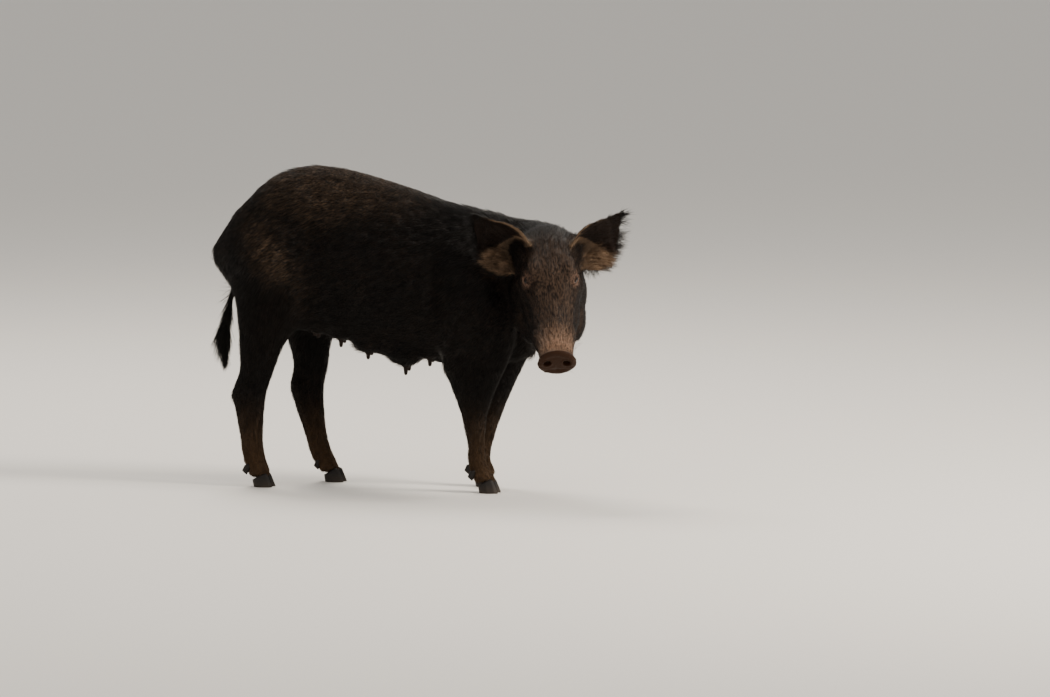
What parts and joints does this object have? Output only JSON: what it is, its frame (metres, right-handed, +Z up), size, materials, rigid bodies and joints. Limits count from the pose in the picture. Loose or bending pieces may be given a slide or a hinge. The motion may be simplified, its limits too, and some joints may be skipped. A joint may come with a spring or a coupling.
{
  "type": "wild boar",
  "caption": "Life-size still figure of a lean black feral sow with teats, standing with her lowered head turned to her right and her ears spread.",
  "frame": {"origin": "on the floor, under the middle of the whole animal's box", "axes": "+X the way the body faces, +Y to her left, +Z up; the head is turned to her right"},
  "size_m": [0.9168, 0.4226, 0.6844],
  "materials": {
    "coat": "short coarse black bristles with brown glints",
    "snout_skin": "thinly haired skin, moist on the disc",
    "claw_horn": "worn dark horn with dust",
    "eye": "wet, very dark brown"
  },
  "bodies": {
    "root": {"barrel": "coat", "forequarters": "coat", "hindquarters": "coat", "neck": "coat", "head": "coat", "lower_jaw": "coat", "tail": "coat", "left_ear": "coat", "right_ear": "coat", "left_thigh": "coat", "left_gaskin": "coat", "left_hind_cannon": "coat", "left_hind_pastern": "coat", "left_forearm": "coat", "left_fore_cannon": "coat", "left_fore_pastern": "coat", "right_thigh": "coat", "right_gaskin": "coat", "right_hind_cannon": "coat", "right_hind_pastern": "coat", "right_forearm": "coat", "right_fore_cannon": "coat", "right_fore_pastern": "coat", "snout": "snout_skin", "left_eye": "eye", "left_fore_inner_claw": "claw_horn", "left_fore_inner_dewclaw": "claw_horn", "left_fore_outer_claw": "claw_horn", "left_fore_outer_dewclaw": "claw_horn", "left_hind_inner_claw": "claw_horn", "left_hind_inner_dewclaw": "claw_horn", "left_hind_outer_claw": "claw_horn", "left_hind_outer_dewclaw": "claw_horn", "right_eye": "eye", "right_fore_inner_claw": "claw_horn", "right_fore_inner_dewclaw": "claw_horn", "right_fore_outer_claw": "claw_horn", "right_fore_outer_dewclaw": "claw_horn", "right_hind_inner_claw": "claw_horn", "right_hind_inner_dewclaw": "claw_horn", "right_hind_outer_claw": "claw_horn", "right_hind_outer_dewclaw": "claw_horn"}
  },
  "joints": []
}
